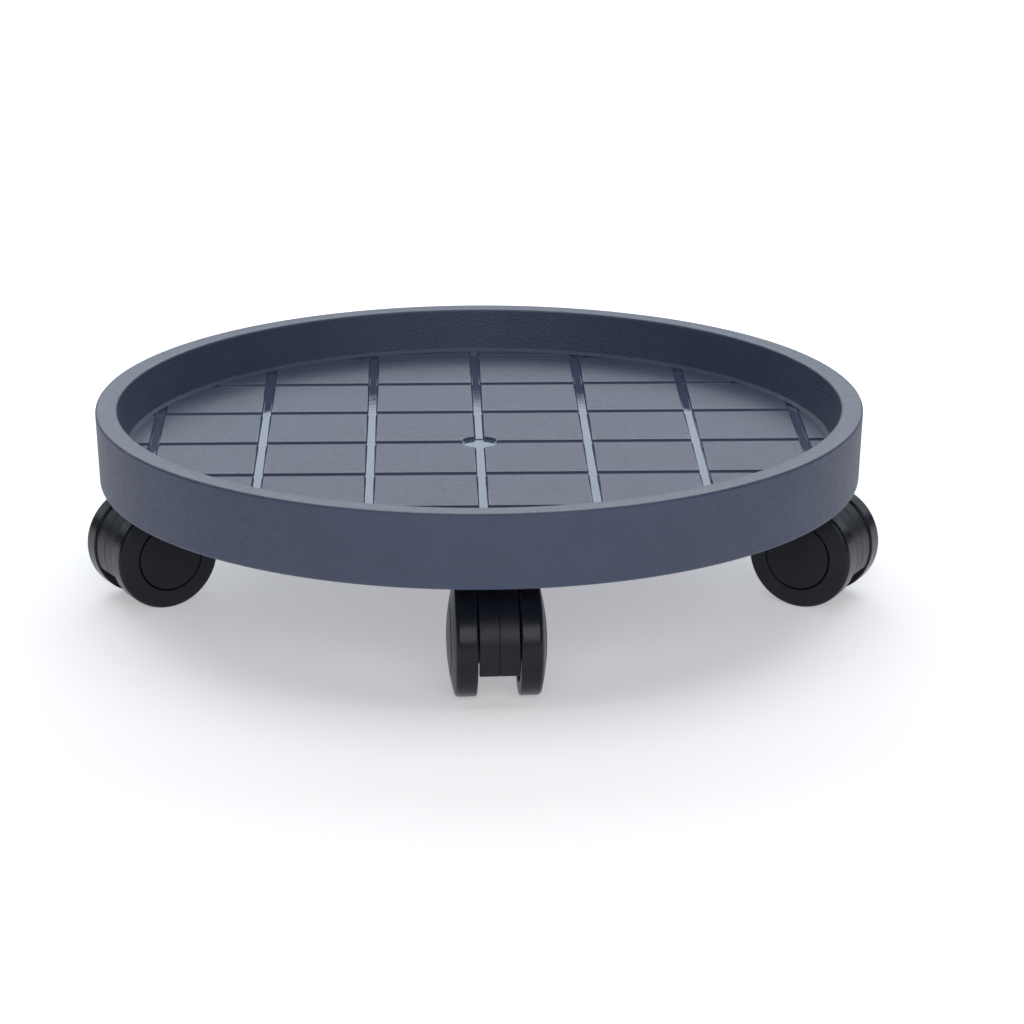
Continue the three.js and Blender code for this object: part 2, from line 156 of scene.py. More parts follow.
class CaddyCasterSizes(bpy.types.PropertyGroup):
    inner_face: size("Wheel inner face", "From the middle of the caster", 10.15)
    tread_width: size("Tread width", "Width of one wheel at its tread", 10.4)
    shoulder: size("Wheel shoulder", "Radius between the tread and the outer face", 2.2)
    crown: size("Face crown", "Rise of the domed outer face", 3.3)
    crown_radius: size("Crown radius", "Where the domed face starts", 25.8)
    cap_radius: size("Hub cap radius", "Round cap in each outer face", 17)
    cap_seat: size("Cap seat", "From the middle of the caster to the back of the cap", 19.55)
    dish_floor: size("Dish floor", "From the middle of the caster to the wheel's web", 13.2)
    hub_radius: size("Hub radius", "Hub inside the wheel", 7.5)
    axle_radius: size("Axle radius", "Steel axle", 3)
    pin_shank: size("Pin shank", "Radius of the king pin below its head", 4)
    inner_hub: size("Inner hub", "Radius of the hub on the wheel's inner face", 8.6)
    inner_ring: size("Inner ring", "Radius where the wheel's inner dish ends", 21.6)
    dish_depth: size("Inner dish", "Depth of the dish in the wheel's inner face", 1.7)
    spoke_length: size("Spoke length", "Small ribs across the inner dish", 13.4)
    spoke_width: size("Spoke width", "Small ribs across the inner dish", 1.2)
    spoke_count: number("Spokes", "Small ribs on each wheel's inner face", 12)
    hood_half_width: size("Hood half width", "From the middle of the caster", 9.6)
    hood_clearance: size("Hood clearance", "Hood inside the tread's radius", 0.8)
    hood_skin: size("Hood wall", "Thickness of the hood's shell", 2.6)
    hood_back: angle("Hood back end", "Where the shell ends behind the axle", -24)
    hood_front: angle("Hood front end", "Where the shell ends over the housing", 124)
    hood_boss: size("Hood boss", "Radius of the hood's boss round the axle", 12)
    hood_housing: size("Hood housing", "Radius of the hood's housing round the king pin", 9.7)
    hood_collar: size("Hood collar", "Radius of the flange under the washer", 12.5)
    hood_collar_height: size("Hood collar height", "Height of that flange", 5.7)
    screw_spacing: size("Screw spacing", "Square hole pattern of a caster plate", 32)
    screw_radius: size("Screw radius", "Screw shank", 1.75)


class CaddyFinishes(bpy.types.PropertyGroup):
    tray: colour("Tray", "Slate blue-grey plastic", (0.057, 0.073, 0.128))
    tray_dark: colour("Tray dark", "Darker mottling of the tray", (0.049, 0.063, 0.113))
    black: colour("Black plastic", "Wheels, caps and hoods", (0.008, 0.0095, 0.0165))
    black_worn: colour("Black plastic, lighter", "Mottling of the black plastic", (0.012, 0.0135, 0.0215))
    zinc: colour("Zinc plate", "Plates and screws", (0.52, 0.53, 0.55))
    steel: colour("Steel", "Axles, pins and rings", (0.42, 0.43, 0.44))
    nylon: colour("Nylon", "Swivel washers", (0.66, 0.64, 0.58))
    grain_size: size("Grain size", "Pebbles on the tray's walls", 1.25)
    grain_height: size("Grain height", "Height of the pebbles", 0.26)


class CaddyStage(bpy.types.PropertyGroup):
    camera_place: FloatVectorProperty(
        name="Camera place",
        description="Where the camera stands",
        default=(-0.0301, -1.7674, 0.5983),
        unit="LENGTH",
    )
    camera_turn: FloatVectorProperty(
        name="Camera turn",
        description="Camera rotation",
        default=(radians(72.457), 0, radians(-1.514)),
        subtype="EULER",
    )
    lens: FloatProperty(name="Lens", description="Focal length in millimetres", default=126.5)
    floor: colour("Floor", "Pale studio floor", (0.86, 0.865, 0.88))
    overhead: power("Overhead", "Power of the light above", 34)
    backdrop: power("Backdrop", "Power of the panel behind", 5.1)
    backdrop_tint: colour("Backdrop tint", "Cool light of the panel behind", (0.77, 0.885, 1))
    sweep: power("Sweep", "Power of the light over the floor behind", 42)
    fill: power("Fill", "Power of the light in front", 30)
    ambient: FloatProperty(name="Ambient", description="Brightness of the room", default=0.06)
    floor_glow: FloatProperty(name="Floor glow", description="Light that the floor gives off", default=0.44)


# ---------- mesh helpers ----------


def soften(corners, steps=5):
    """A closed outline of (x, y, radius) corners with each corner rounded to its radius."""
    points = []
    for i, (x, y, radius) in enumerate(corners):
        here = Vector((x, y))
        before = (Vector(corners[i - 1][:2]) - here).normalized()
        after = (Vector(corners[(i + 1) % len(corners)][:2]) - here).normalized()
        if radius <= 0:
            points.append((x, y))
            continue
        half = before.angle(after) / 2
        centre = here + (before + after).normalized() * radius / sin(half)
        start = here + before * radius / tan(half) - centre
        end = here + after * radius / tan(half) - centre
        sweep = atan2(start.cross(end), start.dot(end))
        first = atan2(start.y, start.x)
        for step in range(steps + 1):
            turn = first + sweep * step / steps
            points.append((centre.x + radius * cos(turn), centre.y + radius * sin(turn)))
    return points


def mesh_of(bm, name):
    bmesh.ops.recalc_face_normals(bm, faces=bm.faces)
    mesh = bpy.data.meshes.new(name)
    bm.to_mesh(mesh)
    bm.free()
    return mesh


def stitch(bm, first, second):
    """Quads between two rings of vertices, or a fan if one of them is a single point."""
    count = max(len(first), len(second))
    for i in range(count):
        j = (i + 1) % count
        corners = [first[i % len(first)], first[j % len(first)]]
        corners += [second[j % len(second)], second[i % len(second)]]
        bm.faces.new(list(dict.fromkeys(corners)))


def loft(name, sections):
    """A closed skin through sections of 3D points, with a flat face at each end."""
    bm = bmesh.new()
    rings = [[bm.verts.new(point) for point in section] for section in sections]
    for first, second in zip(rings, rings[1:]):
        stitch(bm, first, second)
    bm.faces.new(rings[0])
    bm.faces.new(rings[-1])
    return mesh_of(bm, name)


def turned(name, outline, steps):
    """An outline of (radius, height) points turned round Z. Off the axis, it is closed on itself."""
    bm = bmesh.new()
    turns = [2 * pi * k / steps for k in range(steps)]
    solid = outline[0][0] < TINY
    rings = []
    for i, (radius, height) in enumerate(outline):
        if radius >= TINY:
            rings.append([bm.verts.new((radius * cos(turn), radius * sin(turn), height)) for turn in turns])
            continue
        neighbour = outline[1] if i == 0 else outline[i - 1]
        if abs(neighbour[1] - height) > TINY:
            rings.append([bm.verts.new((0, 0, height))])
    for first, second in zip(rings, rings[1:]):
        stitch(bm, first, second)
    if solid:
        for ring in (rings[0], rings[-1]):
            if len(ring) > 1:
                bm.faces.new(ring)
    else:
        stitch(bm, rings[-1], rings[0])
    return mesh_of(bm, name)


EDGE_STEPS = 3  # steps over a block's rounded edge
LEAST_CORNER = 0.05 * MM


def rounded_block(name, length, width, corner, low, high, edge=0.0):
    """An upright block with round corners in plan and a rounded lower and upper edge."""
    levels = [(low, 0), (high, 0)]
    if edge:
        arc = [pi / 2 * k / EDGE_STEPS for k in range(EDGE_STEPS + 1)]
        levels = [(low + edge * (1 - sin(a)), edge * (1 - cos(a))) for a in reversed(arc)]
        levels += [(high - edge * (1 - sin(a)), edge * (1 - cos(a))) for a in arc]
    sections = []
    for height, inset in levels:
        x, y, radius = length / 2 - inset, width / 2 - inset, max(corner - inset, LEAST_CORNER)
        outline = soften([(x, -y, radius), (x, y, radius), (-x, y, radius), (-x, -y, radius)])
        sections.append([(px, py, height) for px, py in outline])
    return loft(name, sections)


def placed(mesh, matrix, name=None):
    """A copy of a mesh in its place."""
    copy = mesh.copy()
    copy.name = name or mesh.name
    copy.transform(matrix)
    return copy


def shown(name, mesh):
    thing = bpy.data.objects.new(name, mesh)
    bpy.context.scene.collection.objects.link(thing)
    return thing


def settled(thing):
    """Turns an object's modifiers into its plain mesh."""
    evaluated = thing.evaluated_get(bpy.context.evaluated_depsgraph_get())
    mesh = bpy.data.meshes.new_from_object(evaluated)
    thing.modifiers.clear()
    thing.data = mesh
    return thing


def combined(mesh, other, operation):
    """Two meshes joined (UNION), cut (DIFFERENCE) or kept where they overlap (INTERSECT)."""
    first, second = shown("first", mesh), shown("second", other)
    modifier = first.modifiers.new("Boolean", "BOOLEAN")
    modifier.operation = operation
    modifier.solver = "MANIFOLD"
    modifier.object = second
    result = settled(first).data
    bpy.data.objects.remove(first)
    bpy.data.objects.remove(second)
    if not result.polygons:
        raise RuntimeError(f"nothing is left of {mesh.name} after {operation}")
    return result


def joined(meshes):
    result = meshes[0]
    for mesh in meshes[1:]:
        result = combined(result, mesh, "UNION")
    return result


def paint(mesh, materials, choose):
    """Gives each face the material whose number choose(centre, normal) returns."""
    mesh.materials.clear()
    for material in materials:
        mesh.materials.append(material)
    for face in mesh.polygons:
        face.material_index = choose(face.center, face.normal)


def add_piece(name, mesh, body, nodes, materials=None, crisp=32):
    """Puts a finished mesh in the scene in place of its CAD nodes, with crisp edges and smooth rounds."""
    if materials:
        paint(mesh, materials, lambda centre, normal: 0)
    mesh.name = name
    mesh.shade_smooth()
    mesh.set_sharp_from_angle(angle=radians(crisp))
    thing = shown(name, mesh)
    weighted = thing.modifiers.new("Weighted", "WEIGHTED_NORMAL")
    weighted.keep_sharp = True
    settled(thing).data.name = name
    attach(thing, body)
    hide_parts(*nodes)
    return thing


# ---------- geometry node trees ----------


class Tree:
    """A geometry node tree with named inputs that ends in Realize Instances and Set Material."""

    def __init__(self, name, inputs):
        self.tree = bpy.data.node_groups.new(name, "GeometryNodeTree")
        face = self.tree.interface
        face.new_socket("Geometry", in_out="INPUT", socket_type="NodeSocketGeometry")
        for label, kind in inputs:
            face.new_socket(label, in_out="INPUT", socket_type=f"NodeSocket{kind}")
        face.new_socket("Material", in_out="INPUT", socket_type="NodeSocketMaterial")
        face.new_socket("Geometry", in_out="OUTPUT", socket_type="NodeSocketGeometry")
        self.inputs = self.tree.nodes.new("NodeGroupInput").outputs

    def node(self, kind, links, **settings):
        made = self.tree.nodes.new(kind)
        for key, value in settings.items():
            setattr(made, key, value)
        for socket, source in links.items():
            if hasattr(source, "is_linked"):
                self.tree.links.new(source, made.inputs[socket])
            else:
                made.inputs[socket].default_value = source
        return made.outputs[0]

    def math(self, operation, a, b):
        return self.node("ShaderNodeMath", {0: a, 1: b}, operation=operation)

    def vector(self, x=0.0, y=0.0, z=0.0):
        return self.node("ShaderNodeCombineXYZ", {"X": x, "Y": y, "Z": z})

    def copies(self, points, item, **extra):
        return self.node("GeometryNodeInstanceOnPoints", {"Points": points, "Instance": item, **extra})

    def finish(self, instances):
        real = self.node("GeometryNodeRealizeInstances", {"Geometry": instances})
        links = {"Geometry": real, "Material": self.inputs["Material"]}
        painted = self.node("GeometryNodeSetMaterial", links)
        self.tree.links.new(painted, self.tree.nodes.new("NodeGroupOutput").inputs[0])
        return self.tree


def copies_round_the_middle():
    """Equal turns of one shape round Z."""
    made = Tree("Copies round the middle", [("Count", "Int"), ("First angle", "Float")])
    index = made.node("GeometryNodeInputIndex", {})
    share = made.math("DIVIDE", index, made.inputs["Count"])
    turn = made.math("ADD", made.math("MULTIPLY", share, 2 * pi), made.inputs["First angle"])
    points = made.node("GeometryNodeMeshLine", {"Count": made.inputs["Count"], "Offset": (0, 0, 0)})
    rotation = made.node("FunctionNodeEulerToRotation", {"Euler": made.vector(z=turn)})
    return made.finish(made.copies(points, made.inputs["Geometry"], Rotation=rotation))


def copies_in_a_row():
    """Evenly spaced copies of one shape along Y, centred on it."""
    made = Tree("Copies in a row", [("Count", "Int"), ("Pitch", "Float")])
    pitch = made.inputs["Pitch"]
    gaps = made.math("SUBTRACT", made.inputs["Count"], 1.0)
    start = made.math("MULTIPLY", made.math("MULTIPLY", gaps, pitch), -0.5)
    first, step = made.vector(y=start), made.vector(y=pitch)
    line = {"Count": made.inputs["Count"], "Start Location": first, "Offset": step}
    points = made.node("GeometryNodeMeshLine", line)
    return made.finish(made.copies(points, made.inputs["Geometry"]))


def copies_in_a_square():
    """One shape at each corner of a square."""
    made = Tree("Copies in a square", [("Spacing", "Float")])
    spacing = made.inputs["Spacing"]
    square = {"Size X": spacing, "Size Y": spacing, "Vertices X": 2, "Vertices Y": 2}
    return made.finish(made.copies(made.node("GeometryNodeMeshGrid", square), made.inputs["Geometry"]))


def repeated(mesh, tree, values):
    """A mesh put through a geometry node tree and made plain."""
    thing = shown(mesh.name, mesh)
    modifier = thing.modifiers.new(tree.name, "NODES")
    modifier.node_group = tree
    for item in tree.interface.items_tree:
        if item.in_out == "INPUT" and item.name in values:
            modifier[item.identifier] = values[item.name]
    result = settled(thing).data
    bpy.data.objects.remove(thing)
    if not result.polygons:
        raise RuntimeError(f"{tree.name} made nothing")
    return result


# ---------- materials ----------


class Finish:
    """One procedural material, patterned on Object coordinates."""

    def __init__(self, name, **constants):
        self.material = bpy.data.materials.new(name)
        self.material.use_nodes = True
        self.tree = self.material.node_tree
        self.surface = self.tree.nodes["Principled BSDF"]
        for socket, value in constants.items():
            self.surface.inputs[socket.replace("_", " ")].default_value = value
        self.place = self.tree.nodes.new("ShaderNodeTexCoord").outputs["Object"]

    def link(self, source, target):
        self.tree.links.new(source, target)

    def noise(self, feature, detail, roughness=0.5):
        made = self.tree.nodes.new("ShaderNodeTexNoise")
        made.inputs["Scale"].default_value = 1 / feature
        made.inputs["Detail"].default_value = detail
        made.inputs["Roughness"].default_value = roughness
        self.link(self.place, made.inputs["Vector"])
        return made.outputs["Fac"]

    def pebbles(self, feature, smoothness=0.6):
        made = self.tree.nodes.new("ShaderNodeTexVoronoi")
        made.feature = "SMOOTH_F1"
        made.inputs["Scale"].default_value = 1 / feature
        made.inputs["Smoothness"].default_value = smoothness
        self.link(self.place, made.inputs["Vector"])
        return made.outputs["Distance"]

    def spread(self, source, low, high, start=0.3, end=0.7):
        made = self.tree.nodes.new("ShaderNodeMapRange")
        for socket, value in (("From Min", start), ("From Max", end), ("To Min", low), ("To Max", high)):
            made.inputs[socket].default_value = value
        self.link(source, made.inputs["Value"])
        return made.outputs["Result"]

    def colour(self, source, first, second):
        made = self.tree.nodes.new("ShaderNodeMix")
        made.data_type = "RGBA"
        self.link(self.spread(source, 0, 1), made.inputs["Factor"])
        # the colour sockets of a Mix node come after its float and vector ones
        colours = [socket for socket in made.inputs if socket.type == "RGBA"]
        colours[0].default_value = (*first, 1)
        colours[1].default_value = (*second, 1)
        result = next(socket for socket in made.outputs if socket.type == "RGBA")
        self.link(result, self.surface.inputs["Base Color"])

    def roughness(self, source, low, high):
        self.link(self.spread(source, low, high), self.surface.inputs["Roughness"])

    def bump(self, source, height, under=None):
        made = self.tree.nodes.new("ShaderNodeBump")
        made.inputs["Distance"].default_value = height
        made.inputs["Strength"].default_value = 1
        self.link(source, made.inputs["Height"])
        if under:
            self.link(under, made.inputs["Normal"])
        return made.outputs["Normal"]

    def done(self, normal):
        self.link(normal, self.surface.inputs["Normal"])
        return self.material


def grained_tray(settings, name, size_share, height_share, rough_low, rough_high):
    """Moulded tray plastic with a pebbled grain over a faint unevenness."""
    made = Finish(name, IOR=1.47)
    made.colour(made.noise(28 * MM, 5, 0.6), settings.tray_dark, settings.tray)
    made.roughness(made.noise(3 * MM, 3), rough_low, rough_high)
    uneven = made.bump(made.noise(9 * MM, 2), 0.05 * MM)
    pebble = made.pebbles(settings.grain_size * size_share)
    coarse = made.bump(pebble, settings.grain_height * height_share, under=uneven)
    speck = made.noise(settings.grain_size * size_share * 0.32, 2, 0.6)
    return made.done(made.bump(speck, settings.grain_height * height_share * 0.45, under=coarse))


def channel_plastic(settings):
    """The polished channel floors, with faint streaks of the mould's machining."""
    made = Finish("Channel floor", IOR=1.5)
    made.colour(made.noise(30 * MM, 4), settings.tray_dark, settings.tray)
    made.roughness(made.noise(4 * MM, 3), 0.04, 0.07)
    return made.done(made.bump(made.noise(2.2 * MM, 3), 0.012 * MM))


def black_plastic(settings, name, rough_low, rough_high, grain):
    """Satin black moulded plastic with faint scuffs."""
    made = Finish(name, IOR=1.33)
    made.colour(made.noise(6 * MM, 6, 0.65), settings.black, settings.black_worn)
    made.roughness(made.noise(2.5 * MM, 5, 0.6), rough_low, rough_high)
    uneven = made.bump(made.noise(5 * MM, 2), 0.03 * MM)
    return made.done(made.bump(made.noise(0.45 * MM, 3), grain * MM, under=uneven))


def plated_metal(name, colour, rough_low, rough_high, feature):
    """Bright metal with the cloudy grain of plating or drawing."""
    made = Finish(name, Metallic=1.0)
    lighter = [min(1.0, channel * 1.15) for channel in colour]
    made.colour(made.noise(feature * 4, 4), colour, lighter)
    made.roughness(made.noise(feature, 5, 0.6), rough_low, rough_high)
    return made.done(made.bump(made.noise(feature * 0.25, 3), 0.01 * MM))


def nylon_plastic(colour):
    """Natural nylon with a waxy surface."""
    made = Finish("Nylon", IOR=1.53, Subsurface_Weight=0.1, Subsurface_Scale=1.5 * MM)
    made.colour(made.noise(3 * MM, 3), colour, [channel * 0.93 for channel in colour])
    made.roughness(made.noise(2 * MM, 3), 0.42, 0.55)
    return made.done(made.bump(made.noise(0.5 * MM, 2), 0.01 * MM))


def material(name):
    """A finish by name, made the first time it is asked for."""
    found = bpy.data.materials.get(name)
    if found:
        return found
    settings = bpy.context.scene.caddy_finishes
    makers = {
        "Tray grain": lambda: grained_tray(settings, name, 1, 1, 0.5, 0.6),
        "Floor squares": lambda: grained_tray(settings, name, 0.45, 0.2, 0.42, 0.5),
        "Rim top": lambda: grained_tray(settings, name, 0.6, 0.22, 0.34, 0.42),
        "Tray underside": lambda: grained_tray(settings, name, 0.6, 0.3, 0.5, 0.62),
        "Channel floor": lambda: channel_plastic(settings),
        "Wheel tread": lambda: black_plastic(settings, name, 0.22, 0.3, 0.01),
        "Wheel face": lambda: black_plastic(settings, name, 0.3, 0.4, 0.014),
        "Hub cap": lambda: black_plastic(settings, name, 0.3, 0.4, 0.014),
        "Hood": lambda: black_plastic(settings, name, 0.32, 0.42, 0.018),
        "Zinc plate": lambda: plated_metal(name, settings.zinc, 0.28, 0.42, 3 * MM),
        "Drawn steel": lambda: plated_metal(name, settings.steel, 0.22, 0.36, 1.5 * MM),
        "Nylon": lambda: nylon_plastic(settings.nylon),
    }
    return makers[name]()


# ---------- tray ----------

# steps round the turned shapes
TRAY_STEPS = 288
RIB_STEPS = 144
WHEEL_STEPS = 96
RING_STEPS = 64
HOLE_STEPS = 48
SCREW_STEPS = 24

CUT_OVER = 0.5 * MM  # cutters stand this far above the floor squares
SINK = 0.6 * MM  # ribs and bosses reach this far into the floor
DISC_HALF = 3 * MM  # half height of the disc that ends the channels
RECESS_DRAFT = 1 * MM  # lean of the recess's side


def floor_reach(s):
    return TRAY_RADIUS - s.rim_width - s.inner_draft - s.foot_step


def tray_body(s):
    inner_top = TRAY_RADIUS - s.rim_width
    inner_foot = inner_top - s.inner_draft
    outer_foot = TRAY_RADIUS - s.outer_draft
    under = PAD_TOP - s.floor_thickness
    outline = soften(
        [
            (0, under, 0),
            (inner_foot + s.skin, under, 0.8 * MM),
            (inner_top + s.skin, TRAY_TOP - s.skin, 1 * MM),
            (TRAY_RADIUS - s.skin, TRAY_TOP - s.skin, 1 * MM),
            (outer_foot - s.lip_round, RIM_BOTTOM, 0.7 * MM),
            (outer_foot, RIM_BOTTOM, 0.72 * s.lip_round),
            (TRAY_RADIUS, TRAY_TOP, s.edge_round),
            (inner_top, TRAY_TOP, s.edge_round),
            (inner_foot, PAD_TOP + s.foot_step, 0.7 * MM),
            (inner_foot - s.foot_step, PAD_TOP, 0.4 * MM),
            (0, PAD_TOP, 0),
        ]
    )
    return turned("tray body", outline, TRAY_STEPS)


def edge_run(s, rise, run):
    """How far a square's rounded edge reaches onto its top."""
    return s.channel_round * tan(atan2(rise, run) / 2)


def channel_cutter(s):
    """Seven straight channels along X, cut off at the foot of the inner wall."""
    half_top, half_floor = s.channel_width / 2, s.channel_floor / 2
    low = PAD_TOP - s.channel_depth
    side = soften([(0, low, 0), (half_floor, low, 0.35 * MM), (half_top, PAD_TOP, 0)], 3)
    right = side[1:-1] + edge_arc(s, half_top, half_top - half_floor, s.channel_depth)
    right.append((right[-1][0], PAD_TOP + CUT_OVER))
    outline = right + [(-x, z) for x, z in reversed(right)]
    length = TRAY_RADIUS
    ends = [[(end, y, z) for y, z in outline] for end in (-length, length)]
    row = repeated(
        loft("channel", ends), copies_in_a_row(), {"Count": s.channel_count, "Pitch": s.channel_pitch}
    )
    reach, disc_low, disc_high = floor_reach(s), PAD_TOP - DISC_HALF, PAD_TOP + DISC_HALF
    disc = [(0, disc_low), (reach, disc_low), (reach, disc_high), (0, disc_high)]
    return combined(row, turned("floor disc", disc, TRAY_STEPS), "INTERSECT")


def edge_arc(s, x, run, rise):
    """The rounded edge of a square at x, from its sloping side up to its level top."""
    turn = atan2(rise, run)
    reach = edge_run(s, rise, run)
    radius = s.channel_round
    steps = 4
    points = []
    for k in range(steps + 1):
        slope = turn * (1 - k / steps)
        points.append((x + reach - radius * sin(slope), PAD_TOP - radius * (1 - cos(slope))))
    return points


def recess_cutter(s):
    low = PAD_TOP - s.recess_depth
    foot_radius = s.recess_radius - RECESS_DRAFT
    foot = soften([(0, low, 0), (foot_radius, low, 0.4 * MM), (s.recess_radius, PAD_TOP, 0)], 3)
    outline = foot[:-1] + edge_arc(s, s.recess_radius, RECESS_DRAFT, s.recess_depth)
    outline += [(outline[-1][0], PAD_TOP + CUT_OVER), (0, PAD_TOP + CUT_OVER)]
    return turned("recess", outline, WHEEL_STEPS)


def round_rib(s, radius):
    high = PAD_TOP - s.floor_thickness + SINK
    outline = soften(
        [
            (radius, s.rib_bottom, 0.5 * MM),
            (radius + s.rib_thickness, s.rib_bottom, 0.5 * MM),
            (radius + s.rib_thickness, high, 0),
            (radius, high, 0),
        ],
        3,
    )
    return turned("round rib", outline, RIB_STEPS)


def ribs(s):
    """Radial ribs, round ribs and rim gussets."""
    high = PAD_TOP - s.floor_thickness + SINK
    round_copies = copies_round_the_middle()
    outer = TRAY_RADIUS - s.outer_draft - s.skin / 2
    inner = s.hub_rib + s.rib_thickness / 2
    rib = rounded_block("rib", outer - inner, s.rib_thickness, 0.5 * MM, s.rib_bottom, high, 0.4 * MM)
    rib.transform(Matrix.Translation(((outer + inner) / 2, 0, 0)))
    radial = repeated(rib, round_copies, {"Count": s.rib_count, "First angle": pi / s.rib_count})
    gusset_inner = TRAY_RADIUS - s.rim_width + 0.2 * MM
    gusset_outer = TRAY_RADIUS - s.skin / 2
    gusset = rounded_block(
        "gusset", gusset_outer - gusset_inner, s.rib_thickness, 0.4 * MM,
        s.gusset_bottom, TRAY_TOP - s.skin + SINK, 0.4 * MM,
    )
    gusset.transform(Matrix.Translation(((gusset_outer + gusset_inner) / 2, 0, 0)))
    webs = repeated(gusset, round_copies, {"Count": s.gusset_count, "First angle": 0.0})
    return [radial, round_rib(s, s.hub_rib), round_rib(s, s.ring_rib), webs]


def boss(s):
    """A square pad under the floor with room for the pin's head."""
    low, high = PLATE_HIGH.z + GAP, PAD_TOP - s.floor_thickness + SINK
    body = rounded_block("boss", s.boss_size, s.boss_size, 5 * MM, low, high, 0.5 * MM)
    pin_head = PIN_HIGH.z + GAP
    head_radius = PIN_HEAD + GAP
    room = [(0, low - CUT_OVER), (head_radius, low - CUT_OVER), (head_radius, pin_head), (0, pin_head)]
    return combined(body, turned("pin head room", room, HOLE_STEPS), "DIFFERENCE")


def pilot_holes(c):
    """One hole in a boss for each screw."""
    low, high = PLATE_HIGH.z - CUT_OVER, SCREW_HIGH.z + GAP
    radius = c.screw_radius + GAP
    hole = turned("pilot hole", [(0, low), (radius, low), (radius, high), (0, high)], SCREW_STEPS)
    return repeated(hole, copies_in_a_square(), {"Spacing": c.screw_spacing})


def tray_surface(s):
    """Sorts the tray's faces: 0 walls, 1 floor squares, 2 channels and recess, 3 underside, 4 rim top."""
    reach = floor_reach(s)
    near = 10 * TINY
    level = 0.7  # a face this much turned upwards lies on top of the rim
    wall_height = TRAY_TOP - PAD_TOP

    def choose(centre, normal):
        distance = hypot(centre.x, centre.y)
        if distance < reach + near and centre.z > PAD_TOP - s.recess_depth - near and normal.z > -near:
            return 1 if centre.z > PAD_TOP - near else 2
        if centre.z > TRAY_TOP - s.edge_round and normal.z > level:
            return 4
        lean = s.inner_draft * (TRAY_TOP - centre.z) / wall_height
        back_of_wall = TRAY_RADIUS - s.rim_width - lean + s.skin / 2
        if centre.z < TRAY_TOP - s.skin + near and back_of_wall < distance < TRAY_RADIUS - s.skin + near:
            return 3
        return 3 if distance <= back_of_wall and centre.z < PAD_TOP - s.skin / 2 else 0

    return choose


class CADDY_OT_tray(bpy.types.Operator):
    """Adds the moulded tray with its channels, recess, ribs and bosses"""

    bl_idname = "caddy.tray"
    bl_label = "Tray"

    def execute(self, context):
        s, c = context.scene.caddy_tray, context.scene.caddy_casters
        across = channel_cutter(s)
        along = placed(across, Matrix.Rotation(pi / 2, 4, "Z"), "channels along")
        body = tray_body(s)
        for cutter in (across, along, recess_cutter(s)):
            body = combined(body, cutter, "DIFFERENCE")
        body = joined([body, *ribs(s)])
        pad, holes = boss(s), pilot_holes(c)
        for name in CASTERS:
            body = combined(body, placed(pad, STEMS[name]), "UNION")
            body = combined(body, placed(holes, STEMS[name]), "DIFFERENCE")
        surfaces = ("Tray grain", "Floor squares", "Channel floor", "Tray underside", "Rim top")
        paint(body, [material(name) for name in surfaces], tray_surface(s))
        add_piece("tray_moulding", body, "tray", ["tray"])
        return {"FINISHED"}


# ---------- plates, screws and pins ----------


class CADDY_OT_plates(bpy.types.Operator):
    """Adds the square mounting plate of each caster"""

    bl_idname = "caddy.plates"
    bl_label = "Mounting plates"

    def execute(self, context):
        c = context.scene.caddy_casters
        side = PLATE_HIGH.x - PLATE_LOW.x
        low, high = PLATE_LOW.z, PLATE_HIGH.z
        plate = rounded_block("plate", side, side, 5 * MM, low, high, 0.5 * MM)
        cut_low, cut_high = low - CUT_OVER, high + CUT_OVER

        def hole(radius, x, y):
            outline = [(0, cut_low), (radius, cut_low), (radius, cut_high), (0, cut_high)]
            return placed(turned("hole", outline, HOLE_STEPS), Matrix.Translation((x, y, 0)))

        spots = [(0, 0, c.pin_shank + GAP)]
        half = c.screw_spacing / 2
        spots += [(x, y, c.screw_radius + GAP) for x in (-half, half) for y in (-half, half)]
        for x, y, radius in spots:
            plate = combined(plate, hole(radius, x, y), "DIFFERENCE")
        for name in CASTERS:
            add_piece(
                f"{name}_plate_pressing", placed(plate, STEMS[name]), "tray",
                [f"{name}_caster_plate"], [material("Zinc plate")],
            )
        return {"FINISHED"}


def screw(c):
    """A pan-head screw, head down, with a cross slot."""
    head_high = PLATE_LOW.z - GAP
    head_low, tip = SCREW_LOW.z, SCREW_HIGH.z
    head = (SCREW_HIGH.x - SCREW_LOW.x) / 2
    face, side, point = 0.72 * head, 1.2 * MM, 1.6 * MM
    slot_length, slot_width, slot_depth = 3.8 * MM, 0.9 * MM, 1.1 * MM
    shank = c.screw_radius
    outline = soften(
        [
            (0, head_low, 0),
            (face, head_low, 0.8 * MM),
            (head, head_low + side, 0.5 * MM),
            (head, head_high, 0.1 * MM),
            (shank, head_high, 0.1 * MM),
            (shank, tip - point, 0.2 * MM),
            (0, tip, 0),
        ],
        3,
    )
    body = turned("screw", outline, SCREW_STEPS)
    for turn in (0, pi / 2):
        low, high = head_low - CUT_OVER, head_low + slot_depth
        slot = rounded_block("slot", slot_length, slot_width, 0.2 * MM, low, high)
        body = combined(body, placed(slot, Matrix.Rotation(turn, 4, "Z")), "DIFFERENCE")
    return body


class CADDY_OT_screws(bpy.types.Operator):
    """Adds the four screws of each mounting plate"""

    bl_idname = "caddy.screws"
    bl_label = "Plate screws"

    def execute(self, context):
        c = context.scene.caddy_casters
        values = {"Spacing": c.screw_spacing, "Material": material("Zinc plate")}
        screws = repeated(screw(c), copies_in_a_square(), values)
        for name in CASTERS:
            nodes = [f"{name}_plate_screw_{i}" for i in (1, 2, 3, 4)]
            add_piece(
                f"{name}_plate_screws", placed(screws, STEMS[name]), "tray", nodes,
                [material("Zinc plate")],
            )
        return {"FINISHED"}


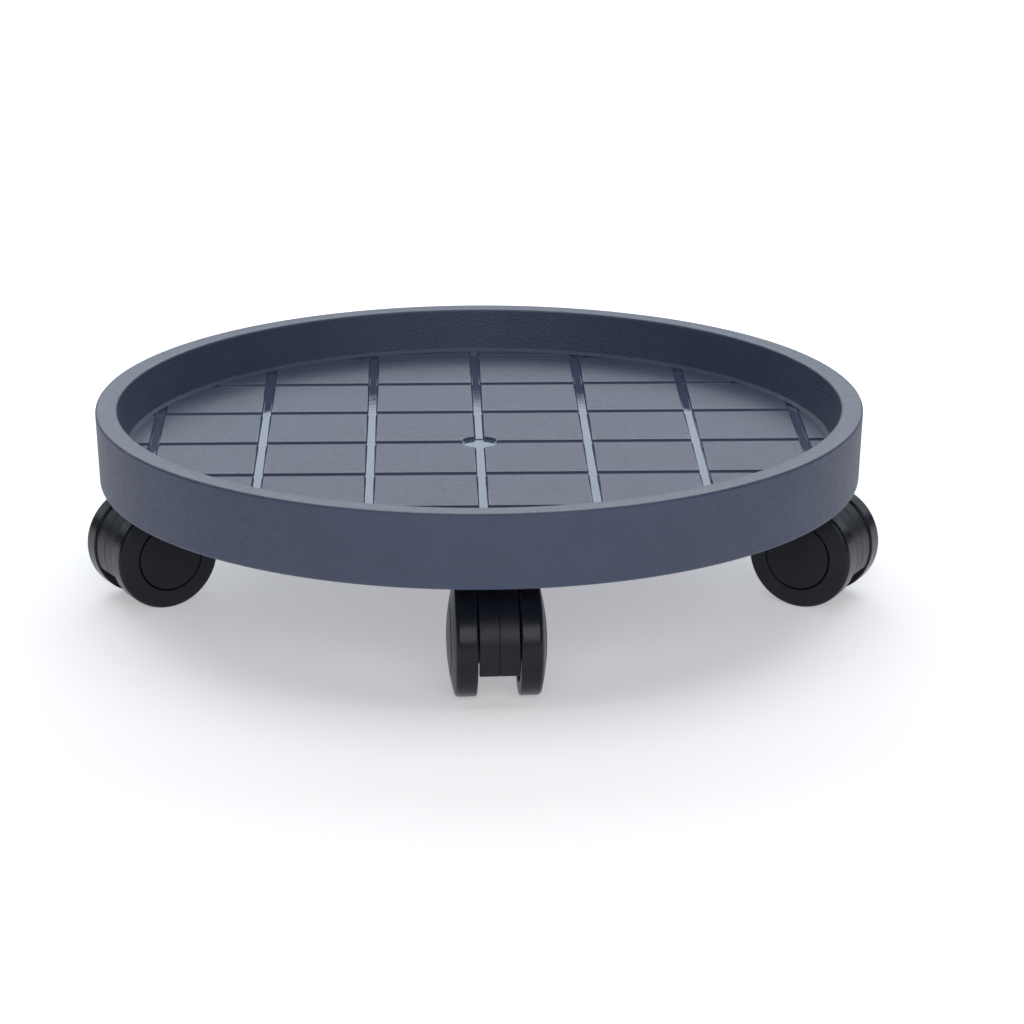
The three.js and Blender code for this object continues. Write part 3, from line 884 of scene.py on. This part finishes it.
def ring_mesh(name, low, high, outer, inner, edge):
    outline = soften([(inner, low, edge), (outer, low, edge), (outer, high, edge), (inner, high, edge)], 3)
    return turned(name, outline, RING_STEPS)


class CADDY_OT_pins(bpy.types.Operator):
    """Adds the king pins with the rings that hold the hoods on them"""

    bl_idname = "caddy.pins"
    bl_label = "King pins"

    def execute(self, context):
        shank = context.scene.caddy_casters.pin_shank
        pin = soften(
            [
                (0, PIN_LOW.z, 0),
                (shank, PIN_LOW.z, 0.8 * MM),
                (shank, PLATE_HIGH.z + GAP, 0),
                (PIN_HEAD, PLATE_HIGH.z + GAP, 0.2 * MM),
                (PIN_HEAD, PIN_HIGH.z, 0.8 * MM),
                (0, PIN_HIGH.z, 0),
            ]
        )
        pin = turned("king pin", pin, RING_STEPS)
        outer = (RING_HIGH.x - RING_LOW.x) / 2
        retainer = ring_mesh("retainer", RING_LOW.z, RING_HIGH.z, outer, shank + GAP, 0.25 * MM)
        kinds = (("pin_turned", pin, "king_pin"), ("retainer_ring", retainer, "pin_retainer"))
        for name in CASTERS:
            for label, mesh, node in kinds:
                add_piece(
                    f"{name}_{label}", placed(mesh, STEMS[name]), "tray",
                    [f"{name}_{node}"], [material("Drawn steel")],
                )
        return {"FINISHED"}


# ---------- swivelling pieces ----------


def along_axle(side=1):
    """Lays a shape made round Z along the axle, towards +Y or -Y, at the axle's place."""
    return Matrix.Translation((TRAIL, 0, AXLE_HEIGHT)) @ Matrix.Rotation(-side * pi / 2, 4, "X")


def hood_shell(c):
    """The curved cover over the wheels' gap, with a fine groove along its middle."""
    radius = AXLE_HEIGHT - c.hood_clearance
    half, skin = c.hood_half_width, c.hood_skin
    groove, depth, bottom = 0.24 * MM, 0.35 * MM, 0.05 * MM
    section = soften(
        [
            (radius - skin, -half, 0.3 * MM),
            (radius, -half, 0.5 * MM),
            (radius, -groove, 0.12 * MM),
            (radius - depth, -groove / 2, bottom),
            (radius - depth, groove / 2, bottom),
            (radius, groove, 0.12 * MM),
            (radius, half, 0.5 * MM),
            (radius - skin, half, 0.3 * MM),
        ]
    )
    centre = radius - skin / 2
    end_round, end_steps, steps = 0.7 * MM, 4, 64
    stations = []
    for k in range(end_steps + 1):
        turn = pi / 2 * k / end_steps
        stations.append((end_round * (1 - cos(turn)) / radius, end_round * (1 - sin(turn))))
    span = c.hood_front - c.hood_back
    inner = [(stations[-1][0] + (span - 2 * stations[-1][0]) * k / steps, 0) for k in range(1, steps)]
    far = [(span - offset, inset) for offset, inset in reversed(stations)]
    sections = []
    for offset, inset in stations + inner + far:
        turn = c.hood_back + offset
        ring = []
        for distance, y in section:
            shrunk = centre + (distance - centre) * (1 - 2 * inset / skin)
            ring.append((
                TRAIL + shrunk * cos(turn), y * (1 - inset / half), AXLE_HEIGHT + shrunk * sin(turn),
            ))
        sections.append(ring)
    return loft("hood shell", sections)


def hood_web(c, housing_low, collar_low):
    """The upright web inside the shell, from the housing to the axle."""
    inside = AXLE_HEIGHT - c.hood_clearance - c.hood_skin / 2
    housing, below_axle, half_width = c.hood_housing, 7 * MM, 3.5 * MM
    low = housing_low + GAP
    steps = 40
    outline = [(housing / 2, low), (housing, low), (TRAIL, AXLE_HEIGHT - below_axle)]
    for k in range(steps + 1):
        turn = c.hood_back + (c.hood_front - c.hood_back) * k / steps
        outline.append((TRAIL + inside * cos(turn), AXLE_HEIGHT + inside * sin(turn)))
    outline.append((housing / 2, collar_low))
    return loft("hood web", [[(x, y, z) for x, z in outline] for y in (-half_width, half_width)])


def hood(c):
    """The hood with its web, axle boss and swivel housing in one moulding."""
    low, high = RING_HIGH.z + GAP, HOOD_TOP
    housing, collar, collar_low = c.hood_housing, c.hood_collar, high - c.hood_collar_height
    boss_half, boss_radius = c.inner_face - GAP, c.hood_boss
    turned_boss = turned(
        "axle boss",
        soften([
            (0, -boss_half, 0),
            (boss_radius, -boss_half, 0.4 * MM),
            (boss_radius, boss_half, 0.4 * MM),
            (0, boss_half, 0),
        ]),
        RING_STEPS,
    )
    swivel = soften(
        [
            (0, low, 0),
            (housing, low, 0.5 * MM),
            (housing, collar_low, 0.8 * MM),
            (collar, collar_low + 0.8 * MM, 0.6 * MM),
            (collar, high, 0.5 * MM),
            (0, high, 0),
        ]
    )
    body = joined([
        hood_shell(c),
        hood_web(c, low, collar_low),
        placed(turned_boss, along_axle()),
        turned("swivel housing", swivel, RING_STEPS),
    ])
    reach, above_axle = 30 * MM, 15 * MM
    pin_bore = (c.pin_shank + GAP, Matrix.Translation((0, 0, AXLE_HEIGHT + above_axle)))
    axle_bore = (c.axle_radius + GAP, along_axle())
    for radius, matrix in (pin_bore, axle_bore):
        drill = turned("bore", [(0, -reach), (radius, -reach), (radius, reach), (0, reach)], HOLE_STEPS)
        body = combined(body, placed(drill, matrix), "DIFFERENCE")
    return body


class CADDY_OT_hoods(bpy.types.Operator):
    """Adds each caster's hood and the nylon washer it turns on"""

    bl_idname = "caddy.hoods"
    bl_label = "Hoods and washers"

    def execute(self, context):
        c = context.scene.caddy_casters
        moulding = hood(c)
        inner = c.pin_shank + GAP
        washer = ring_mesh("washer", WASHER_LOW.z, WASHER_HIGH.z, WASHER_RADIUS, inner, 0.3 * MM)
        for name in CASTERS:
            add_piece(
                f"{name}_hood_moulding", placed(moulding, PLACES[name]), f"{name}_swivel",
                [f"{name}_caster_hood"], [material("Hood")],
            )
            add_piece(
                f"{name}_thrust_washer", placed(washer, PLACES[name]), f"{name}_swivel",
                [f"{name}_swivel_washer"], [material("Nylon")],
            )
        return {"FINISHED"}


class CADDY_OT_axles(bpy.types.Operator):
    """Adds the steel axle of each caster"""

    bl_idname = "caddy.axles"
    bl_label = "Axles"

    def execute(self, context):
        c = context.scene.caddy_casters
        end = c.cap_seat - 2 * GAP
        radius = c.axle_radius
        outline = soften([(0, -end, 0), (radius, -end, 0.5 * MM), (radius, end, 0.5 * MM), (0, end, 0)])
        axle = placed(turned("axle", outline, HOLE_STEPS), along_axle())
        for name in CASTERS:
            add_piece(
                f"{name}_axle_rod", placed(axle, PLACES[name]), f"{name}_swivel",
                [f"{name}_axle"], [material("Drawn steel")],
            )
        return {"FINISHED"}


# ---------- wheels and hub caps ----------


def face_height(c, radius):
    """The domed outer face of wheel and cap, measured from the middle of the caster."""
    return c.inner_face + c.tread_width + c.crown * (1 - (radius / c.crown_radius) ** 2)


def dome(c, start, end, steps):
    """Points of the domed face between two radii."""
    radii = [start + (end - start) * k / steps for k in range(steps + 1)]
    return [(radius, face_height(c, radius), 0) for radius in radii]


def wheel(c):
    """One wheel round Z, with a shallow ribbed dish in its inner face."""
    bore = c.axle_radius + GAP
    inner = c.inner_face
    dish = inner + c.dish_depth
    hub_slope, ring_slope = 0.8 * MM, 1 * MM
    dome_outer, dome_inner = 24 * MM, 18.6 * MM
    edge = c.cap_radius + GAP
    outline = soften(
        [
            (bore, inner, 0.3 * MM),
            (c.inner_hub, inner, 0.3 * MM),
            (c.inner_hub + hub_slope, dish, 0.4 * MM),
            (c.inner_ring - ring_slope, dish, 0.6 * MM),
            (c.inner_ring, inner, 0.4 * MM),
            (AXLE_HEIGHT, inner, 0.9 * MM),
            (AXLE_HEIGHT, face_height(c, AXLE_HEIGHT), c.shoulder),
            *dome(c, dome_outer, dome_inner, 4),
            (edge, face_height(c, edge), 0.5 * MM),
            (edge, c.dish_floor, 0.3 * MM),
            (c.hub_radius, c.dish_floor, 0.3 * MM),
            (c.hub_radius, c.cap_seat, 0.2 * MM),
            (bore, c.cap_seat, 0.2 * MM),
        ],
        6,
    )
    body = turned("wheel", outline, WHEEL_STEPS)
    low, high = inner + 0.5 * MM, dish + 0.4 * MM
    spoke = rounded_block("spoke", c.spoke_length, c.spoke_width, 0.3 * MM, low, high, 0.2 * MM)
    spoke_middle = 15 * MM
    spoke.transform(Matrix.Translation((spoke_middle, 0, 0)))
    spokes = repeated(spoke, copies_round_the_middle(), {"Count": c.spoke_count, "First angle": 0.0})
    return combined(body, spokes, "UNION")


def hub_cap(c):
    """One cap round Z, flush with the wheel's domed face."""
    low = c.cap_seat + GAP
    dome_edge = 15.6 * MM
    edge = c.cap_radius - GAP
    outline = soften(
        [
            (0, low, 0),
            (edge, low, 0.3 * MM),
            (edge, face_height(c, edge), 0.5 * MM),
            *dome(c, dome_edge, 0, 10),
        ],
        6,
    )
    return turned("hub cap", outline, WHEEL_STEPS)


class CADDY_OT_wheels(bpy.types.Operator):
    """Adds both wheels of each caster"""

    bl_idname = "caddy.wheels"
    bl_label = "Wheels"

    def execute(self, context):
        c = context.scene.caddy_casters
        tread = AXLE_HEIGHT - 0.5 * MM  # faces beyond this radius belong to the tread
        mesh = wheel(c)
        paint(
            mesh,
            [material("Wheel face"), material("Wheel tread")],
            lambda centre, normal: int(hypot(centre.x, centre.y) > tread),
        )
        for name in CASTERS:
            for label, side in (("a", 1), ("b", -1)):
                matrix = PLACES[name] @ along_axle(side)
                add_piece(
                    f"{name}_wheel_{label}_moulding", placed(mesh, matrix), f"{name}_roller_{label}",
                    [f"{name}_wheel_{label}"],
                )
        return {"FINISHED"}


class CADDY_OT_caps(bpy.types.Operator):
    """Adds the round cap in each wheel's outer face"""

    bl_idname = "caddy.caps"
    bl_label = "Hub caps"

    def execute(self, context):
        mesh = hub_cap(context.scene.caddy_casters)
        for name in CASTERS:
            for label, side in (("a", 1), ("b", -1)):
                matrix = PLACES[name] @ along_axle(side)
                add_piece(
                    f"{name}_hub_disc_{label}", placed(mesh, matrix), f"{name}_roller_{label}",
                    [f"{name}_hub_cap_{label}"], [material("Hub cap")],
                )
        return {"FINISHED"}


# ---------- stage ----------


def area_light(name, power, place, target, width, height, tint=(1, 1, 1)):
    """A soft rectangular light that the camera doesn't see."""
    data = bpy.data.lights.new(name, "AREA")
    data.shape = "RECTANGLE"
    data.size, data.size_y = width, height
    data.energy = power
    data.color = tint
    light = shown(name, data)
    light.location = place
    light.rotation_euler = (Vector(target) - Vector(place)).to_track_quat("-Z", "Y").to_euler()
    light.visible_camera = False


class CADDY_OT_stage(bpy.types.Operator):
    """Adds the pale floor, the studio lights and the camera"""

    bl_idname = "caddy.stage"
    bl_label = "Stage"

    def execute(self, context):
        scene = context.scene
        s = scene.caddy_stage
        half, bottom, top = 30, -0.02, -0.0001
        floor = shown("floor", loft("floor", [
            [(-half, -half, z), (half, -half, z), (half, half, z), (-half, half, z)] for z in (bottom, top)
        ]))
        made = Finish("Floor", IOR=1.4)
        darker = [channel * 0.985 for channel in s.floor]
        made.colour(made.noise(400 * MM, 3), s.floor, darker)
        made.roughness(made.noise(200 * MM, 2), 0.75, 0.85)
        made.surface.inputs["Emission Color"].default_value = (*s.floor, 1)
        made.surface.inputs["Emission Strength"].default_value = s.floor_glow
        floor.data.materials.append(made.done(made.bump(made.noise(20 * MM, 2), 0.02 * MM)))

        area_light("overhead", s.overhead, place=(0, 0.2, 2.6), target=(0, 0.2, 0), width=3.0, height=2.4)
        area_light(
            "backdrop", s.backdrop, place=(0, 0.9, 0.459), target=(0, 0, 0.459), width=3.0, height=0.3,
            tint=s.backdrop_tint,
        )
        area_light("sweep", s.sweep, place=(0, 2.3, 1.7), target=(0, 1.9, 0), width=3.6, height=1.4)
        area_light("fill", s.fill, place=(0.2, -2.6, 1.3), target=(0, 0, 0.1), width=2.4, height=1.4)

        world = bpy.data.worlds.new("Studio")
        world.use_nodes = True
        background = world.node_tree.nodes["Background"]
        background.inputs["Color"].default_value = (0.97, 0.98, 1.0, 1)
        background.inputs["Strength"].default_value = s.ambient
        scene.world = world

        data = bpy.data.cameras.new("camera")
        data.lens = s.lens
        data.sensor_width = 36
        camera = shown("camera", data)
        camera.location = s.camera_place
        camera.rotation_euler = s.camera_turn
        scene.camera = camera
        scene.view_settings.view_transform = "Standard"
        return {"FINISHED"}


# ---------- panel and registration ----------

STEPS = (
    CADDY_OT_tray, CADDY_OT_plates, CADDY_OT_screws, CADDY_OT_pins, CADDY_OT_hoods,
    CADDY_OT_axles, CADDY_OT_wheels, CADDY_OT_caps, CADDY_OT_stage,
)
GROUPS = {
    "caddy_tray": CaddyTraySizes,
    "caddy_casters": CaddyCasterSizes,
    "caddy_finishes": CaddyFinishes,
    "caddy_stage": CaddyStage,
}


class CADDY_PT_panel(bpy.types.Panel):
    """Lists the caddy's settings and steps"""

    bl_idname = "CADDY_PT_panel"
    bl_label = "Plant Pot Caddy"
    bl_space_type = "VIEW_3D"
    bl_region_type = "UI"
    bl_category = "Plant Caddy"

    def draw(self, context):
        for step in STEPS:
            self.layout.operator(step.bl_idname)
        for group in GROUPS:
            settings = getattr(context.scene, group)
            box = self.layout.box()
            for name in settings.__annotations__:
                box.prop(settings, name)


CLASSES = (*GROUPS.values(), *STEPS, CADDY_PT_panel)


def register():
    for item in CLASSES:
        bpy.utils.register_class(item)
    for name, group in GROUPS.items():
        setattr(bpy.types.Scene, name, PointerProperty(type=group))


def unregister():
    for name in GROUPS:
        delattr(bpy.types.Scene, name)
    for item in reversed(CLASSES):
        bpy.utils.unregister_class(item)


def main():
    register()
    for step in STEPS:
        getattr(bpy.ops.caddy, step.bl_idname.split(".")[1])()


if __name__ == "__main__":
    main()
